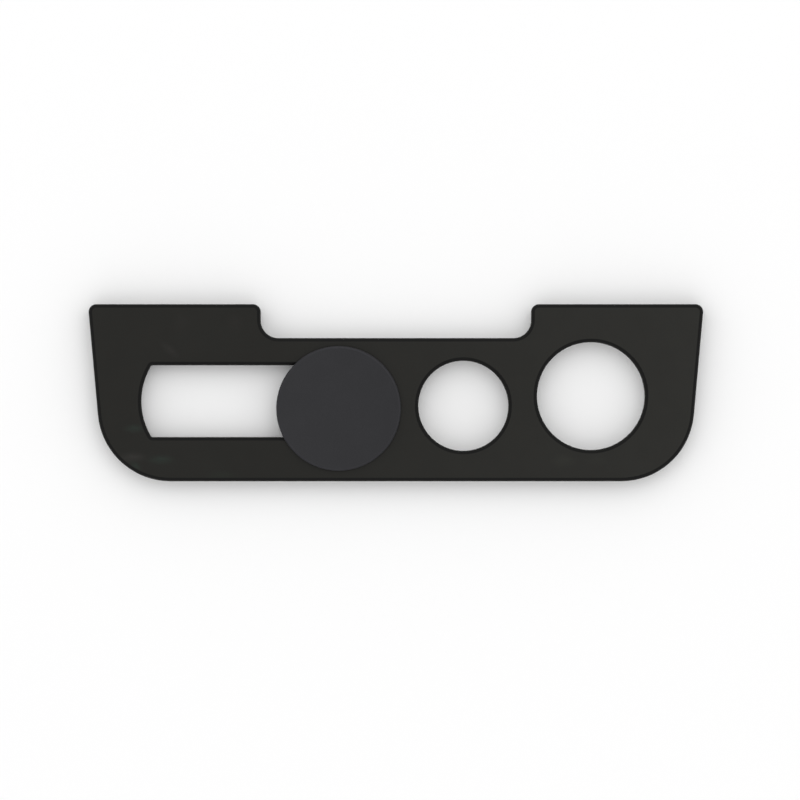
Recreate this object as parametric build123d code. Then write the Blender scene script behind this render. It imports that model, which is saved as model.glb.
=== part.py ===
from build123d import *

# Camera privacy sticker: a flat moulded plate with a captured sliding cover.
# Millimetres, +Z up, lying on its adhesive side. X runs along the plate and Y up the front view.
# The origin is the middle of the outline's bounding box, on the underside of the adhesive.
import os
from math import radians, sqrt, tan

# Plate outline, seen from the front
TOP_WIDTH = 40.0  # between the two top corners, before they are rounded
HEIGHT = 11.5
SIDE_TAPER = 5.15  # degrees by which each side leans in towards the bottom
BOTTOM_CORNER_R = 4.73
TOP_CORNER_R = 0.5
NOTCH_WIDTH = 17.57
NOTCH_DEPTH = 2.2
NOTCH_CORNER_R = 1.15
EDGE_R = 0.25  # rounding of the plate's upper edges

# Round windows
SMALL_WINDOW_X = 4.38
SMALL_WINDOW_Y = -0.85
SMALL_WINDOW_DIAMETER = 5.85
LARGE_WINDOW_X = 12.66
LARGE_WINDOW_Y = -0.22
LARGE_WINDOW_DIAMETER = 7.0

# Slot that the cover travels along
SLOT_LEFT = -16.53
SLOT_RIGHT = -0.6
SLOT_Y = -0.55
SLOT_HEIGHT = 4.66
SLOT_END_R = 4.47  # each end is one shallow arc
SLOT_CORNER_R = 0.15

# Thicknesses
FILM = 0.15
PLATE = 1.05
WEB = 0.5  # what is left of the plate over the retainer's channel
CAP = 0.2
RETAINER = 0.45

# Sliding cover
CAP_DIAMETER = 8.1
CAP_BELOW_SLOT = 0.47  # the cap's centre lies this far under the slot's centre line
CAP_EDGE_R = 0.15
NECK_LENGTH = 6.14
RETAINER_LENGTH = 5.4
RETAINER_REACH = 0.8  # under the web, past each long side of the slot
RETAINER_CORNER_R = 0.5
STAKE_DIAMETER = 0.9  # two pegs under the neck, which the retainer is staked on
STAKE_SPACING = 3.4

# Clearances
CAP_GAP = 0.05  # under the cap
NECK_GAP = 0.08  # between the neck and each long side of the slot
END_GAP = 0.05  # between the neck and the slot's end, at each end of the travel
RETAINER_GAP = 0.05  # over the retainer
CHANNEL_GAP = 0.12  # round what runs in the channel
STAKE_GAP = 0.02  # round each stake
FILM_INSET = 0.12  # from the plate's edges to the film's

# Heights and places that follow from the sizes above
PLATE_TOP = FILM + PLATE
WEB_BOTTOM = PLATE_TOP - WEB
CAP_BOTTOM = PLATE_TOP + CAP_GAP
RETAINER_TOP = WEB_BOTTOM - RETAINER_GAP
RETAINER_BOTTOM = RETAINER_TOP - RETAINER
RETAINER_HEIGHT = SLOT_HEIGHT + 2 * RETAINER_REACH
CHANNEL_HEIGHT = RETAINER_HEIGHT + 2 * CHANNEL_GAP
CHANNEL_LENGTH = SLOT_RIGHT - SLOT_LEFT + 2 * CHANNEL_GAP
CHANNEL_CORNER_R = RETAINER_CORNER_R + CHANNEL_GAP
SLOT_X = (SLOT_LEFT + SLOT_RIGHT) / 2
COVER_X = SLOT_RIGHT - END_GAP - NECK_LENGTH / 2
TRAVEL = SLOT_RIGHT - SLOT_LEFT - NECK_LENGTH - 2 * END_GAP


def plate_outline():
    """Leaning sides, large bottom corners and a notch in the middle of the top edge."""
    top = HEIGHT / 2
    half_top = TOP_WIDTH / 2
    half_bottom = half_top - HEIGHT * tan(radians(SIDE_TAPER))
    half_notch = NOTCH_WIDTH / 2
    notch_floor = top - NOTCH_DEPTH
    right_half = FilletPolyline(
        (0, -top),
        (half_bottom, -top),
        (half_top, top),
        (half_notch, top),
        (half_notch, notch_floor),
        (0, notch_floor),
        radius=[BOTTOM_CORNER_R, TOP_CORNER_R, TOP_CORNER_R, NOTCH_CORNER_R],
    )
    return make_face(right_half.edges() + mirror(right_half, about=Plane.YZ).edges())


def arc_ended(length, height, end_r):
    """Two straight long sides, each end closed by one shallow arc."""
    half = height / 2
    tip = length / 2
    corner = tip - end_r + sqrt(end_r**2 - half**2)
    return make_face(
        [
            Line((-corner, half), (corner, half)),
            ThreePointArc((corner, half), (tip, 0), (corner, -half)),
            Line((corner, -half), (-corner, -half)),
            ThreePointArc((-corner, -half), (-tip, 0), (-corner, half)),
        ]
    )


def windows(margin=0.0):
    """The two round windows, each grown by the margin."""
    small = Pos(SMALL_WINDOW_X, SMALL_WINDOW_Y) * Circle(SMALL_WINDOW_DIAMETER / 2 + margin)
    large = Pos(LARGE_WINDOW_X, LARGE_WINDOW_Y) * Circle(LARGE_WINDOW_DIAMETER / 2 + margin)
    return small + large


def channel(margin=0.0):
    """Plan of the channel behind the slot, grown by the margin."""
    length = CHANNEL_LENGTH + 2 * margin
    height = CHANNEL_HEIGHT + 2 * margin
    return Pos(SLOT_X, SLOT_Y) * RectangleRounded(length, height, CHANNEL_CORNER_R + margin)


def slot():
    """The slot's plan, with its corners just broken."""
    plan = Pos(SLOT_X, SLOT_Y) * arc_ended(SLOT_RIGHT - SLOT_LEFT, SLOT_HEIGHT, SLOT_END_R)
    return fillet(plan.vertices(), SLOT_CORNER_R)


def frame_plate():
    """Moulded plate: slot and windows right through, channel in its back, upper edges rounded."""
    plate = Pos(0, 0, FILM) * extrude(plate_outline() - windows() - slot(), PLATE)
    plate = fillet(plate.faces().sort_by(Axis.Z)[-1].edges(), EDGE_R)
    return plate - Pos(0, 0, FILM) * extrude(channel(), PLATE - WEB)


def adhesive_film():
    """Die-cut double-sided film, set in from the plate's edges and cut away behind the slot."""
    outline = offset(plate_outline(), -FILM_INSET)
    return extrude(outline - windows(FILM_INSET) - channel(FILM_INSET), FILM)


def stakes(radius, bottom, top):
    """Two upright pegs of one radius on the slot's centre line."""
    peg = Pos(COVER_X, SLOT_Y, bottom) * extrude(Circle(radius), top - bottom)
    return Pos(-STAKE_SPACING / 2, 0, 0) * peg + Pos(STAKE_SPACING / 2, 0, 0) * peg


def slider_cap():
    """Round cap over the plate, with the neck that fills the slot's height and its two stakes."""
    cap = extrude(Circle(CAP_DIAMETER / 2), CAP)
    cap = fillet(cap.edges().sort_by(Axis.Z)[-1], CAP_EDGE_R)
    cap = Pos(COVER_X, SLOT_Y - CAP_BELOW_SLOT, CAP_BOTTOM) * cap
    neck = extrude(
        arc_ended(NECK_LENGTH, SLOT_HEIGHT - 2 * NECK_GAP, SLOT_END_R - NECK_GAP),
        CAP_BOTTOM - RETAINER_TOP,
    )
    neck = Pos(COVER_X, SLOT_Y, RETAINER_TOP) * neck
    return cap + neck + stakes(STAKE_DIAMETER / 2, RETAINER_BOTTOM, RETAINER_TOP)


def slider_retainer():
    """Flat piece behind the web, wider than the slot, that keeps the cover on the plate."""
    blank = extrude(RectangleRounded(RETAINER_LENGTH, RETAINER_HEIGHT, RETAINER_CORNER_R), RETAINER)
    blank = Pos(COVER_X, SLOT_Y, RETAINER_BOTTOM) * blank
    return blank - stakes(STAKE_DIAMETER / 2 + STAKE_GAP, RETAINER_BOTTOM, RETAINER_TOP)


def main():
    """Builds and writes each piece."""
    os.makedirs("parts", exist_ok=True)
    export_step(frame_plate(), "parts/frame_plate.step")
    export_step(adhesive_film(), "parts/adhesive_film.step")
    export_step(slider_cap(), "parts/slider_cap.step")
    export_step(slider_retainer(), "parts/slider_retainer.step")
    print(f"cover at x {COVER_X:.3f}, travel {TRAVEL:.3f} towards -X")


main()
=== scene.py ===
import logging
from dataclasses import dataclass
from enum import Enum
from math import radians
from typing import Optional, Sequence, Union

import bpy
import numpy as np
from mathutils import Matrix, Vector


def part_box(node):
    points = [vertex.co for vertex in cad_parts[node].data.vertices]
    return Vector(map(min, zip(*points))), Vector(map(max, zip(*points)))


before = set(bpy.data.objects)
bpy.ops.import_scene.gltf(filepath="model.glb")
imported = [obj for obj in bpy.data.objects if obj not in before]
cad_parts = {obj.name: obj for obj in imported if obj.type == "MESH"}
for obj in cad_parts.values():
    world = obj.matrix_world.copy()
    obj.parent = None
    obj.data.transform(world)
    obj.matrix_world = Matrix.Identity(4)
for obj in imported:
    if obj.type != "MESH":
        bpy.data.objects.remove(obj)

MM = 0.001
LOG = logging.getLogger("privacy_sticker")
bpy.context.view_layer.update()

Colour = tuple[float, float, float]
Link = bpy.types.NodeSocket
Value = Union[float, Sequence[float], Link]

ORIGIN = (0.0, 0.0, 0.0)
WHITE = (1.0, 1.0, 1.0, 1.0)
NOISE_LOW = 0.3  # most of a soft noise lies from here to NOISE_HIGH
NOISE_HIGH = 0.7
GRAIN_LOW = 0.25  # most of the grain's noise, whose fine layers are stronger, lies from here to GRAIN_HIGH
GRAIN_HIGH = 0.75
MIX_FIRST = 6  # the Mix node's colour sockets go by number, because its others have the same names
MIX_SECOND = 7
MIX_RESULT = 2


class Kind(Enum):
    """What a socket of a node group carries."""

    NUMBER = "NodeSocketFloat"
    PLACE = "NodeSocketVector"


class Sum(Enum):
    """How one number is worked out from two."""

    PLUS = "ADD"
    MINUS = "SUBTRACT"
    TIMES = "MULTIPLY"
    OVER = "DIVIDE"
    LARGER_OF = "MAXIMUM"


class Slope(Enum):
    """How a number changes between the two ends of a range."""

    SMOOTH = "SMOOTHSTEP"
    STRAIGHT = "LINEAR"


class PaintedReflectionTone(Enum):
    """The base colour of a painted reflection, a spot of reflected light painted into the colour, where it
    is densest.

    The far ones are for the plate's right side, where the painted light makes the plate lighter.
    """

    PALE = (0.0137, 0.0128, 0.0110)
    FAINT = (0.0104, 0.0095, 0.0078)
    WHITISH = (0.0195, 0.0185, 0.0165)
    GREENISH = (0.0124, 0.0184, 0.0141)
    FAINT_GREENISH = (0.0090, 0.0112, 0.0078)
    FAR_WHITISH = (0.0164, 0.0166, 0.0134)
    FAR_FAINT = (0.0145, 0.0146, 0.0120)


@dataclass
class Graph:
    """Adds nodes to one node tree and joins them.

    Args:
        tree: the tree of a material, a world or a node group.
    """

    tree: bpy.types.NodeTree

    def node(self, type_name: str, **settings: object) -> bpy.types.Node:
        """Adds one node.

        Args:
            type_name: the node's type.
            settings: attributes to set on it.

        Returns:
            The new node.
        """
        made = self.tree.nodes.new(type_name)
        for name, value in settings.items():
            setattr(made, name, value)
        return made

    def feed(self, socket: Link, value: Value) -> None:
        """Joins a socket to another one, or sets its own value.

        Args:
            socket: the socket to feed.
            value: another socket, or the value itself.
        """
        if isinstance(value, Link):
            self.tree.links.new(value, socket)
        else:
            socket.default_value = value

    def place(self) -> Link:
        """The place on the object itself, in metres."""
        return self.node("ShaderNodeTexCoord").outputs["Object"]

    def distance(self, place: Value) -> Link:
        """Works out how far a place is from the origin.

        Args:
            place: the place.

        Returns:
            The distance's socket.
        """
        made = self.node("ShaderNodeVectorMath", operation="LENGTH")
        self.feed(made.inputs[0], place)
        return made.outputs["Value"]

    def math(self, how: Sum, first: Value, second: Value, clamp: bool = False) -> Link:
        """Works out one number from two.

        Args:
            how: what is done with them.
            first: the first number.
            second: the second number.
            clamp: keeps the answer between 0 and 1.

        Returns:
            The answer's socket.
        """
        made = self.node("ShaderNodeMath", operation=how.value, use_clamp=clamp)
        self.feed(made.inputs[0], first)
        self.feed(made.inputs[1], second)
        return made.outputs[0]

    def ramp(
        self,
        value: Value,
        low: Value,
        high: Value,
        to_low: Value = 0.0,
        to_high: Value = 1.0,
        slope: Slope = Slope.SMOOTH,
    ) -> Link:
        """Carries a number from one range to another.

        Args:
            value: the number to carry over.
            low: where the change begins.
            high: where the change ends.
            to_low: the answer up to low.
            to_high: the answer from high on.
            slope: whether the change sets in softly or runs straight.

        Returns:
            The answer's socket.
        """
        made = self.node("ShaderNodeMapRange", interpolation_type=slope.value)
        for socket, given in zip(made.inputs, (value, low, high, to_low, to_high)):
            self.feed(socket, given)
        return made.outputs["Result"]

    def mix(self, share: Value, first: Value, second: Value) -> Link:
        """Mixes two colours.

        Args:
            share: how much of the second one there is.
            first: the first colour.
            second: the second colour.

        Returns:
            The mixed colour's socket.
        """
        made = self.node("ShaderNodeMix", data_type="RGBA")
        self.feed(made.inputs["Factor"], share)
        self.feed(made.inputs[MIX_FIRST], first)
        self.feed(made.inputs[MIX_SECOND], second)
        return made.outputs[MIX_RESULT]

    def noise(self, vector: Value, size: Value, detail: float = 2.0, roughness: float = 0.5) -> Link:
        """Soft noise of about a given size in metres.

        Args:
            vector: the place.
            size: the size of one lump, in metres.
            detail: how many finer layers lie on it.
            roughness: how strong the finer layers are.

        Returns:
            The noise's socket, from 0 to 1.
        """
        made = self.node("ShaderNodeTexNoise", normalize=True)
        self.feed(made.inputs["Vector"], vector)
        self.feed(made.inputs["Scale"], self.math(Sum.OVER, 1.0, size))
        made.inputs["Detail"].default_value = detail
        made.inputs["Roughness"].default_value = roughness
        return made.outputs["Fac"]


def new_group(name: str, takes: dict[str, tuple[Kind, Value]], gives: dict[str, Kind]) -> Graph:
    """Starts a shader node group with named sockets.

    Args:
        name: the group's name.
        takes: each input's name, with what it carries and the value it has when nothing feeds it.
        gives: each output's name, with what it carries.

    Returns:
        The graph of the group, with its two end nodes in place.
    """
    tree = bpy.data.node_groups.new(name, "ShaderNodeTree")
    for label, (kind, value) in takes.items():
        socket = tree.interface.new_socket(name=label, in_out="INPUT", socket_type=kind.value)
        socket.default_value = value
    for label, kind in gives.items():
        tree.interface.new_socket(name=label, in_out="OUTPUT", socket_type=kind.value)
    graph = Graph(tree)
    graph.node("NodeGroupInput", name="in")
    graph.node("NodeGroupOutput", name="out")
    return graph


def opaque(colour: Colour) -> tuple[float, float, float, float]:
    """The colour with nothing showing through it."""
    return (*colour, 1.0)


def new_material(name: str) -> tuple[bpy.types.Material, Graph, bpy.types.Node]:
    """Starts a material.

    Args:
        name: the material's name.

    Returns:
        The material, the graph of its nodes and its shader.
    """
    material = bpy.data.materials.new(name)
    material.use_nodes = True
    graph = Graph(material.node_tree)
    return material, graph, graph.tree.nodes["Principled BSDF"]


def raise_surface(graph: Graph, shader: bpy.types.Node, height: Link) -> None:
    """Bends a shader's normal by a height in metres.

    Args:
        graph: the material's graph.
        shader: the material's shader.
        height: the height's socket.
    """
    bump = graph.node("ShaderNodeBump")
    bump.inputs["Distance"].default_value = 1.0
    graph.feed(bump.inputs["Height"], height)
    graph.feed(shader.inputs["Normal"], bump.outputs["Normal"])


@dataclass(frozen=True)
class MouldedGrain:
    """The fine sparked grain and the slow waves that a moulding takes from its tool.

    Its sizes are those that a material has when it asks for no others.

    Args:
        name: the group's name.
        grain_size: the size of one grain, in metres.
        grain_depth: how deep the grain is, in metres.
        wave_size: the size of one slow wave, in metres.
        wave_depth: how deep the slow waves are, in metres.
    """

    name: str = "moulded_grain"
    grain_size: float = 0.07 * MM
    grain_depth: float = 0.002 * MM
    wave_size: float = 5.0 * MM
    wave_depth: float = 0.002 * MM

    def build(self) -> bpy.types.NodeTree:
        """Makes the group: grain and waves are two noises, summed by weight into one height in metres.

        Returns:
            The group.
        """
        graph = new_group(
            self.name,
            {
                "Place": (Kind.PLACE, ORIGIN),
                "Grain Size": (Kind.NUMBER, self.grain_size),
                "Grain Depth": (Kind.NUMBER, self.grain_depth),
                "Wave Size": (Kind.NUMBER, self.wave_size),
                "Wave Depth": (Kind.NUMBER, self.wave_depth),
            },
            {"Height": Kind.NUMBER, "Grain": Kind.NUMBER, "Waves": Kind.NUMBER},
        )
        source = graph.tree.nodes["in"].outputs
        grain = graph.noise(source["Place"], source["Grain Size"], detail=2.0, roughness=0.6)
        waves = graph.noise(source["Place"], source["Wave Size"], detail=1.0, roughness=0.4)
        fine = graph.math(Sum.TIMES, grain, source["Grain Depth"])
        slow = graph.math(Sum.TIMES, waves, source["Wave Depth"])
        ends = graph.tree.nodes["out"].inputs
        graph.feed(ends["Height"], graph.math(Sum.PLUS, fine, slow))
        graph.feed(ends["Grain"], grain)
        graph.feed(ends["Waves"], waves)
        return graph.tree


@dataclass(frozen=True)
class RoundedEdge:
    """Where the upper edge of a flat piece is rounded.

    Its top, radius and share on the walls are those that a material has when it asks for no others.

    Args:
        name: the group's name.
        top: the height of the piece's upper face, in metres.
        radius: the rounding's radius, in metres.
        kept_on_walls: the mask on the upright wall below.
        begins: how deep the mask begins, in radii of the rounding, so that the flat face stays free of it.
        full: how deep the mask is full, in radii of the rounding.
    """

    name: str = "rounded_edge"
    top: float = 1.0 * MM
    radius: float = 0.2 * MM
    kept_on_walls: float = 0.35
    begins: float = 0.0005
    full: float = 0.015

    def build(self) -> bpy.types.NodeTree:
        """Makes the group.

        The depth is how far a point lies under the piece's top, in radii of the rounding. The mask grows
        from 0 to 1 over the first degrees of the rounding, and sinks from there to the share kept on the
        wall below.

        Returns:
            The group.
        """
        graph = new_group(
            self.name,
            {
                "Height": (Kind.NUMBER, 0.0),
                "Top": (Kind.NUMBER, self.top),
                "Radius": (Kind.NUMBER, self.radius),
                "Kept On Walls": (Kind.NUMBER, self.kept_on_walls),
            },
            {"Mask": Kind.NUMBER},
        )
        source = graph.tree.nodes["in"].outputs
        below = graph.math(Sum.MINUS, source["Top"], source["Height"])
        depth = graph.math(Sum.OVER, below, source["Radius"])
        grown = graph.ramp(depth, self.begins, self.full)
        kept = graph.ramp(depth, 0.0, 1.0, 1.0, source["Kept On Walls"])
        graph.feed(graph.tree.nodes["out"].inputs["Mask"], graph.math(Sum.TIMES, grown, kept))
        return graph.tree


@dataclass(frozen=True)
class SoftSpot:
    """A soft spot with a slightly uneven body, such as a painted reflection.

    Args:
        name: the group's name.
        unevenness: how much the spot is thinned where it is thinnest.
        lump: the size of one lump of the unevenness, where the spot's radius is 1.
        thinned_from: where the noise begins to thin the spot.
        thinned_to: where it thins it most.
    """

    name: str = "soft_spot"
    unevenness: float = 0.3
    lump: float = 0.5
    thinned_from: float = 0.3
    thinned_to: float = 0.6

    def build(self) -> bpy.types.NodeTree:
        """Makes the group: the mask falls from 1 at the spot's middle to 0 one unit away, times soft noise.

        Returns:
            The group.
        """
        graph = new_group(
            self.name,
            {"Place In Spot": (Kind.PLACE, ORIGIN), "Unevenness": (Kind.NUMBER, self.unevenness)},
            {"Mask": Kind.NUMBER},
        )
        source = graph.tree.nodes["in"].outputs
        spot = graph.ramp(graph.distance(source["Place In Spot"]), 0.0, 1.0, 1.0, 0.0)
        lumps = graph.noise(source["Place In Spot"], self.lump, detail=1.0)
        thinned = graph.ramp(lumps, self.thinned_from, self.thinned_to)
        body = graph.math(Sum.MINUS, 1.0, graph.math(Sum.TIMES, thinned, source["Unevenness"]))
        graph.feed(graph.tree.nodes["out"].inputs["Mask"], graph.math(Sum.TIMES, spot, body, clamp=True))
        return graph.tree


@dataclass(frozen=True)
class Groups:
    """The shared effects, each built once.

    Args:
        grain: the fine grain and slow waves of a moulding.
        edge: where a piece's upper edge is rounded.
        spot: a soft spot, such as a painted reflection.
    """

    grain: bpy.types.NodeTree
    edge: bpy.types.NodeTree
    spot: bpy.types.NodeTree

    @classmethod
    def build(cls) -> "Groups":
        """Builds every shared effect."""
        return cls(MouldedGrain().build(), RoundedEdge().build(), SoftSpot().build())


def place_group(graph: Graph, tree: bpy.types.NodeTree, **values: Value) -> bpy.types.Node:
    """Puts a group into a material.

    Args:
        graph: the material's graph.
        tree: the group.
        values: what goes into its inputs, with an underscore for each space in a name.

    Returns:
        The group's node.
    """
    made = graph.node("ShaderNodeGroup", node_tree=tree)
    for label, value in values.items():
        graph.feed(made.inputs[label.replace("_", " ")], value)
    return made


@dataclass(frozen=True)
class PaintedReflection:
    """One faint spot of painted reflection on a flat face: a reflected light painted into the colour.

    Args:
        x: its middle along X, in metres.
        y: its middle along Y, in metres.
        length: how far it reaches from its middle, lengthwise, in metres.
        width: how far it reaches to each side, in metres.
        tone: its colour where it is densest.
        tilt: how far its length is turned from X, in degrees.
    """

    x: float
    y: float
    length: float
    width: float
    tone: PaintedReflectionTone
    tilt: float = 0.0

    def mask(self, graph: Graph, groups: Groups, place: Value, top: float) -> Link:
        """Where the painted reflection lies.

        Args:
            graph: the material's graph.
            groups: the shared effects.
            place: the place on the piece.
            top: the height of the flat face, in metres.

        Returns:
            The mask's socket, from 0 to 1.
        """
        turned = graph.node("ShaderNodeMapping", vector_type="TEXTURE")
        graph.feed(turned.inputs["Vector"], place)
        turned.inputs["Location"].default_value = (self.x, self.y, top)
        turned.inputs["Rotation"].default_value = (0.0, 0.0, radians(self.tilt))
        turned.inputs["Scale"].default_value = (self.length, self.width, self.width)
        spot = place_group(graph, groups.spot, Place_In_Spot=turned.outputs["Vector"])
        return spot.outputs["Mask"]


@dataclass(frozen=True)
class PaintedRim:
    """The look of a piece's rounded upper edge, which differs from that of its flat faces: its colour is
    painted, darker as painted shade on the plate's edge and lighter as a painted highlight on the cap's.

    Args:
        radius: the rounding's radius, in metres.
        colour: the base colour on it.
        roughness: how rough it is.
    """

    radius: float
    colour: Colour
    roughness: float


@dataclass(frozen=True)
class PaintedLightGradient:
    """Painted light and shade: a slow, straight change of a plastic's colour along X, standing in for how
    the light falls across the piece.

    Args:
        colour: the base colour that it ends in.
        begins: where it begins, in metres.
        ends: where it ends, in metres.
    """

    colour: Colour
    begins: float
    ends: float


@dataclass(frozen=True)
class MouldedPlastic:
    """Dark matt moulded plastic.

    Args:
        name: the material's name.
        colour: its base colour.
        roughness: how rough the flat faces are.
        gloss: how strongly the plastic mirrors, where 0.5 is bare glossy plastic.
        grain_depth: how deep the fine grain is, in metres.
        speckle: by what share the tone changes from grain to grain.
        cloudiness: by what share the tone drifts in soft patches.
        cloud_size: how large the soft patches are, in metres.
        roughness_drift: how far the roughness drifts each way with the slow waves.
        reflection_polish: how much smoother the plastic is under a painted reflection.
        change: the painted light gradient of its colour along X, if it has one.
        rim: its rounded upper edge, with its painted edge colour, if it has one.
        painted_reflections: the faint painted reflections on it, spots of reflected light painted into the
            colour.
    """

    name: str
    colour: Colour
    roughness: float
    gloss: float
    grain_depth: float
    speckle: float = 0.06
    cloudiness: float = 0.04
    cloud_size: float = 1.6 * MM
    roughness_drift: float = 0.02
    reflection_polish: float = 0.04
    change: Optional[PaintedLightGradient] = None
    rim: Optional[PaintedRim] = None
    painted_reflections: tuple[PaintedReflection, ...] = ()

    def build(self, groups: Groups, top: float) -> bpy.types.Material:
        """Makes the material.

        Args:
            groups: the shared effects.
            top: the height of the piece's upper face, in metres.

        Returns:
            The new material.
        """
        material, graph, shader = new_material(self.name)
        place = graph.place()
        parts = graph.node("ShaderNodeSeparateXYZ")
        graph.feed(parts.inputs[0], place)
        grain = place_group(graph, groups.grain, Place=place, Grain_Depth=self.grain_depth)
        colour = self.body_colour(graph, place, parts.outputs["X"], grain)
        smoother, rougher = self.roughness - self.roughness_drift, self.roughness + self.roughness_drift
        rough = graph.ramp(grain.outputs["Waves"], NOISE_LOW, NOISE_HIGH, smoother, rougher)
        # painted reflections: spots of reflected light painted into the colour, with the plastic a little
        # smoother under each
        for reflection_spot in self.painted_reflections:
            mask = reflection_spot.mask(graph, groups, place, top)
            colour = graph.mix(mask, colour, opaque(reflection_spot.tone.value))
            rough = graph.math(Sum.MINUS, rough, graph.math(Sum.TIMES, mask, self.reflection_polish))
        # painted light and shade on the rounded edge: darker on the plate as painted shade, lighter on the
        # cap as a painted highlight
        if self.rim:
            height = parts.outputs["Z"]
            edge = place_group(graph, groups.edge, Height=height, Top=top, Radius=self.rim.radius)
            colour = graph.mix(edge.outputs["Mask"], colour, opaque(self.rim.colour))
            rough = graph.ramp(edge.outputs["Mask"], 0.0, 1.0, rough, self.rim.roughness)
        graph.feed(shader.inputs["Base Color"], colour)
        graph.feed(shader.inputs["Roughness"], rough)
        raise_surface(graph, shader, grain.outputs["Height"])
        shader.inputs["Specular IOR Level"].default_value = self.gloss
        return material

    def body_colour(self, graph: Graph, place: Value, along: Value, grain: bpy.types.Node) -> Link:
        """Works out the colour of the flat faces: the colour with its painted light gradient along X, times
        speckle, times patches.

        Args:
            graph: the material's graph.
            place: the place on the piece.
            along: how far along X the place is.
            grain: the placed grain group.

        Returns:
            The colour's socket.
        """
        tone: Value = self.colour
        # painted light and shade: the colour slides along X, standing in for how the light falls across the
        # piece
        if self.change:
            share = graph.ramp(along, self.change.begins, self.change.ends, slope=Slope.STRAIGHT)
            tone = graph.mix(share, opaque(self.colour), opaque(self.change.colour))
        grains = grain.outputs["Grain"]
        speckle = graph.ramp(grains, GRAIN_LOW, GRAIN_HIGH, 1.0 - self.speckle, 1.0 + self.speckle)
        patches = graph.noise(place, self.cloud_size, detail=2.0)
        clouds = graph.ramp(patches, NOISE_LOW, NOISE_HIGH, 1.0 - self.cloudiness, 1.0 + self.cloudiness)
        speckled = graph.node("ShaderNodeVectorMath", operation="SCALE")
        graph.feed(speckled.inputs[0], tone)
        graph.feed(speckled.inputs["Scale"], graph.math(Sum.TIMES, speckle, clouds))
        return speckled.outputs[0]


@dataclass(frozen=True)
class TackyFilm:
    """Milky double-sided film with a fine orange-peel surface.

    Args:
        name: the material's name.
        colour: its base colour where it is palest.
        roughness: how rough it is.
        dimmest: the share of that colour where it is least pale.
        peel_size: the size of one dimple of the orange peel, in metres.
        peel_depth: how deep the dimples are, in metres.
        wave_size: the size of one slow wave, in metres.
    """

    name: str
    colour: Colour
    roughness: float
    dimmest: float = 0.9
    peel_size: float = 0.25 * MM
    peel_depth: float = 0.003 * MM
    wave_size: float = 3.0 * MM

    def build(self, groups: Groups) -> bpy.types.Material:
        """Makes the material.

        Args:
            groups: the shared effects.

        Returns:
            The new material.
        """
        material, graph, shader = new_material(self.name)
        peel = place_group(
            graph,
            groups.grain,
            Place=graph.place(),
            Grain_Size=self.peel_size,
            Grain_Depth=self.peel_depth,
            Wave_Size=self.wave_size,
        )
        paleness = graph.ramp(peel.outputs["Waves"], NOISE_LOW, NOISE_HIGH)
        dim = tuple(self.dimmest * part for part in self.colour)
        graph.feed(shader.inputs["Base Color"], graph.mix(paleness, opaque(dim), opaque(self.colour)))
        shader.inputs["Roughness"].default_value = self.roughness
        raise_surface(graph, shader, peel.outputs["Height"])
        return material


def top_of(node: str) -> float:
    """How high a carried-over piece reaches, in metres."""
    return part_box(node)[1][2]


def dress(node: str, material: bpy.types.Material) -> None:
    """Gives a carried-over piece its material.

    Args:
        node: the piece's name.
        material: what it is made of.
    """
    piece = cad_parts[node]
    for held in piece.material_slots:
        held.material = material
    LOG.info("%s is dressed in %s", node, material.name)


@dataclass
class CoverPlate:
    """The plate with its film, which stays where it is stuck.

    Args:
        plastic: what the plate is moulded in.
        film: what holds it to the device.
    """

    plastic: MouldedPlastic
    film: TackyFilm

    def dress(self, groups: Groups) -> None:
        """Gives the plate and its film their materials."""
        dress("frame_plate", self.plastic.build(groups, top_of("frame_plate")))
        dress("adhesive_film", self.film.build(groups))


@dataclass
class SlidingCover:
    """The cap with its neck, and the retainer behind the plate.

    Args:
        cap: what the cap and its neck are moulded in.
        retainer: what the retainer is moulded in.
    """

    cap: MouldedPlastic
    retainer: MouldedPlastic

    def dress(self, groups: Groups) -> None:
        """Gives the cap and the retainer their materials."""
        dress("slider_cap", self.cap.build(groups, top_of("slider_cap")))
        dress("slider_retainer", self.retainer.build(groups, top_of("slider_retainer")))


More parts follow.
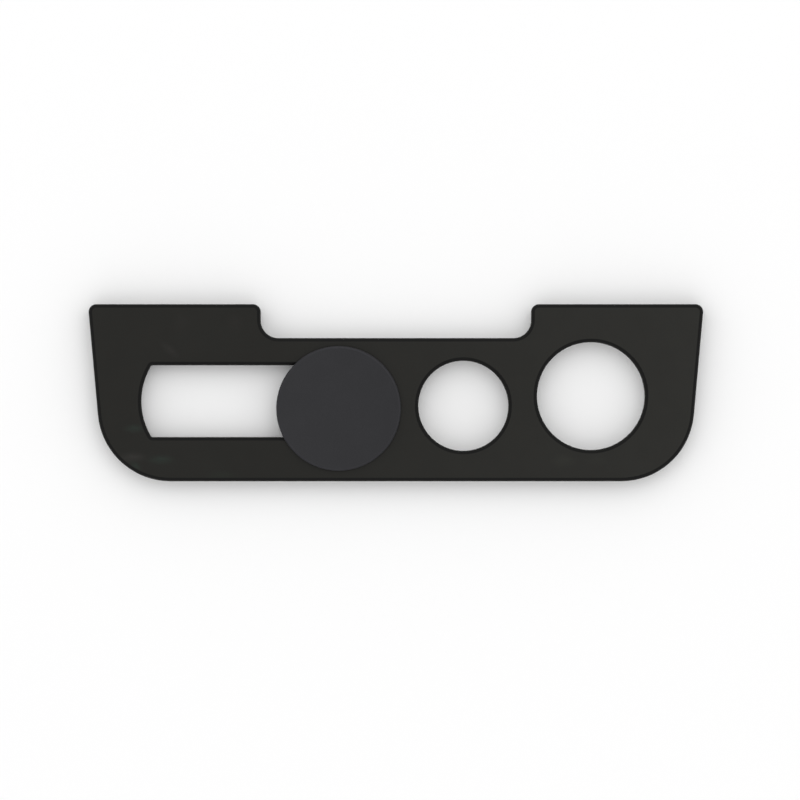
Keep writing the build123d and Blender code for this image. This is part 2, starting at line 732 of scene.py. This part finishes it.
@dataclass
class Studio:
    """Pale floor, soft white light all round, one soft lamp and the camera straight above.

    Args:
        view_width: how wide a stretch of the plane below the picture shows, in metres.
        aim_x: how far right of the plate's middle the camera stands, in metres.
        aim_y: how far above the plate's middle in the picture it stands, in metres.
        plane: the height of the level plane that the picture's width is given for, in metres.
        lens: the lens, in millimetres.
        sensor: the sensor's width, in millimetres.
        floor_tone: how pale the floor is.
        floor_reach: how far the floor goes each way, in metres.
        floor_drop: how far it lies under the film, so that the two faces don't fight, in metres.
        overhead: how strong the light from straight above is, where the camera keeps some of it out.
        horizon: how strong the light from level all round is.
        key_power: the soft lamp's power, in watts.
        key_place: where the soft lamp hangs, in metres.
        key_size: how wide the soft lamp is, in metres.
        floor_lift: how much whiter than it is lit the floor is seen.
        far_lift: how much whiter it is seen far away, so that its end doesn't show against the sky.
        lift_from: how far from the middle of the floor that change begins, in metres.
        lift_to: how far from the middle it ends, in metres.
        nearest: how near the camera still sees, in metres.
        farthest: how far it sees, in metres.
    """

    view_width: float = 51.94 * MM
    aim_x: float = 0.265 * MM
    aim_y: float = -0.472 * MM
    plane: float = 1.0 * MM
    lens: float = 400.0
    sensor: float = 36.0
    floor_tone: float = 0.97
    floor_reach: float = 5.0
    floor_drop: float = 0.005 * MM
    overhead: float = 0.565
    horizon: float = 1.56
    key_power: float = 9.4
    key_place: tuple[float, float, float] = (0.2, 1.25, 1.75)
    key_size: float = 2.5
    floor_lift: float = 0.008
    far_lift: float = 0.25
    lift_from: float = 0.1
    lift_to: float = 1.5
    nearest: float = 0.01
    farthest: float = 10.0

    def seen(self, graph: Graph) -> Link:
        """How far a ray shows the background: straight, in a mirror or through glass.

        Args:
            graph: the graph of a material or the world.

        Returns:
            The share's socket, 1 for such a ray and 0 for one that lights something.
        """
        rays = graph.node("ShaderNodeLightPath").outputs
        indirect = graph.math(Sum.PLUS, rays["Is Glossy Ray"], rays["Is Transmission Ray"])
        return graph.math(Sum.PLUS, rays["Is Camera Ray"], indirect, clamp=True)

    def build_floor(self) -> None:
        """Makes the floor.

        It is one flat square: its corners are those of a square two units wide, times the reach, and
        they all lie at the floor's level.
        """
        corners = self.floor_reach * np.array([[-1, -1], [1, -1], [1, 1], [-1, 1]])
        level = np.full((len(corners), 1), -self.floor_drop)
        mesh = bpy.data.meshes.new("floor")
        mesh.from_pydata(np.hstack([corners, level]).tolist(), [], [(0, 1, 2, 3)])
        floor = bpy.data.objects.new("floor", mesh)
        bpy.context.scene.collection.objects.link(floor)
        material, graph, shader = new_material("pale_floor")
        shader.inputs["Base Color"].default_value = opaque((self.floor_tone,) * 3)
        shader.inputs["Roughness"].default_value = 1.0
        shader.inputs["Specular IOR Level"].default_value = 0.0
        away = graph.distance(graph.place())
        lift = graph.ramp(away, self.lift_from, self.lift_to, self.floor_lift, self.far_lift)
        shader.inputs["Emission Color"].default_value = WHITE
        graph.feed(shader.inputs["Emission Strength"], graph.math(Sum.TIMES, self.seen(graph), lift))
        mesh.materials.append(material)

    def build_sky(self) -> None:
        """White light from all round, weaker overhead, which is seen as plain white."""
        world = bpy.data.worlds.new("studio")
        bpy.context.scene.world = world
        world.use_nodes = True
        graph = Graph(world.node_tree)
        light = graph.tree.nodes["Background"]
        light.inputs["Color"].default_value = WHITE
        direction = graph.node("ShaderNodeSeparateXYZ")
        graph.feed(direction.inputs[0], graph.node("ShaderNodeTexCoord").outputs["Generated"])
        height = graph.math(Sum.LARGER_OF, direction.outputs["Z"], 0.0)
        fall = graph.math(Sum.TIMES, height, self.overhead - self.horizon)
        dome = graph.math(Sum.PLUS, fall, self.horizon)
        seen = self.seen(graph)
        lit = graph.math(Sum.TIMES, dome, graph.math(Sum.MINUS, 1.0, seen))
        graph.feed(light.inputs["Strength"], graph.math(Sum.PLUS, lit, seen))

    def build_key(self) -> None:
        """Makes the soft lamp over the upper right, turned to the plate."""
        lamp = bpy.data.lights.new("key", "AREA")
        lamp.shape = "DISK"
        lamp.size = self.key_size
        lamp.energy = self.key_power
        key = bpy.data.objects.new("key", lamp)
        key.location = self.key_place
        key.rotation_euler = (-Vector(self.key_place)).to_track_quat("-Z", "Y").to_euler()
        bpy.context.scene.collection.objects.link(key)

    def build_camera(self) -> None:
        """Makes the camera: its height over the plane is the view's width times lens over sensor."""
        camera = bpy.data.cameras.new("camera")
        camera.lens = self.lens
        camera.sensor_width = self.sensor
        camera.clip_start = self.nearest
        camera.clip_end = self.farthest
        holder = bpy.data.objects.new("camera", camera)
        height = self.plane + self.view_width * self.lens / self.sensor
        holder.location = (self.aim_x, self.aim_y, height)
        bpy.context.scene.collection.objects.link(holder)
        bpy.context.scene.camera = holder

    def build(self) -> None:
        """Sets up the whole studio."""
        self.build_floor()
        self.build_sky()
        self.build_key()
        self.build_camera()
        bpy.context.scene.view_settings.view_transform = "Standard"


PLATE_PLASTIC = MouldedPlastic(
    name="matt_black_plate",
    colour=(0.0084, 0.0081, 0.0063),
    roughness=0.5,
    gloss=0.19,
    grain_depth=0.006 * MM,
    # painted light: the plate is painted lighter towards its right, where more light falls
    change=PaintedLightGradient(colour=(0.0141, 0.0139, 0.0117), begins=-8 * MM, ends=20 * MM),
    # painted shade: the plate's rounded edge is painted near black, a dark line along it
    rim=PaintedRim(radius=0.25 * MM, colour=(0.0012, 0.0012, 0.0010), roughness=0.7),
    # painted reflections: faint pale, whitish and greenish spots of reflected light painted into the
    # plate's colour
    painted_reflections=(
        PaintedReflection(-14.70 * MM, 2.81 * MM, 1.05 * MM, 0.40 * MM, PaintedReflectionTone.PALE, tilt=-40.0),
        PaintedReflection(-13.92 * MM, 4.56 * MM, 0.80 * MM, 0.90 * MM, PaintedReflectionTone.FAINT),
        PaintedReflection(-10.48 * MM, 4.56 * MM, 0.80 * MM, 0.90 * MM, PaintedReflectionTone.FAINT),
        PaintedReflection(-16.97 * MM, -2.32 * MM, 0.90 * MM, 0.40 * MM, PaintedReflectionTone.GREENISH),
        PaintedReflection(-17.10 * MM, -4.20 * MM, 1.20 * MM, 0.45 * MM, PaintedReflectionTone.WHITISH),
        PaintedReflection(-15.25 * MM, -4.34 * MM, 1.15 * MM, 0.42 * MM, PaintedReflectionTone.GREENISH),
        PaintedReflection(-16.90 * MM, -4.78 * MM, 0.60 * MM, 0.40 * MM, PaintedReflectionTone.GREENISH, tilt=-45.0),
        PaintedReflection(-11.39 * MM, -5.37 * MM, 1.30 * MM, 0.45 * MM, PaintedReflectionTone.FAINT_GREENISH),
        PaintedReflection(10.88 * MM, -4.38 * MM, 1.10 * MM, 0.60 * MM, PaintedReflectionTone.FAR_WHITISH),
        PaintedReflection(13.09 * MM, -4.38 * MM, 0.95 * MM, 0.45 * MM, PaintedReflectionTone.FAR_FAINT),
    ),
)
CAP_PLASTIC = MouldedPlastic(
    name="blue_grey_cap",
    colour=(0.0214, 0.0214, 0.0239),
    roughness=0.5,
    gloss=0.19,
    grain_depth=0.005 * MM,
    cloudiness=0.03,
    # painted shade: the cap is painted darker towards its right
    change=PaintedLightGradient(colour=(0.0196, 0.0196, 0.0221), begins=-7 * MM, ends=0.0),
    # painted highlight: the cap's rounded edge is painted lighter, where it catches the light
    rim=PaintedRim(radius=0.15 * MM, colour=(0.0247, 0.0247, 0.0282), roughness=0.55),
)
RETAINER_PLASTIC = MouldedPlastic(
    name="plain_black_retainer",
    colour=(0.012, 0.012, 0.0112),
    roughness=0.42,
    gloss=0.3,
    grain_depth=0.003 * MM,
)
FILM = TackyFilm(name="milky_film", colour=(0.74, 0.74, 0.70), roughness=0.28)


def main() -> None:
    """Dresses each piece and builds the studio."""
    logging.basicConfig(level=logging.INFO, format="%(message)s")
    groups = Groups.build()
    CoverPlate(PLATE_PLASTIC, FILM).dress(groups)
    SlidingCover(CAP_PLASTIC, RETAINER_PLASTIC).dress(groups)
    Studio().build()


if __name__ == "__main__":
    main()
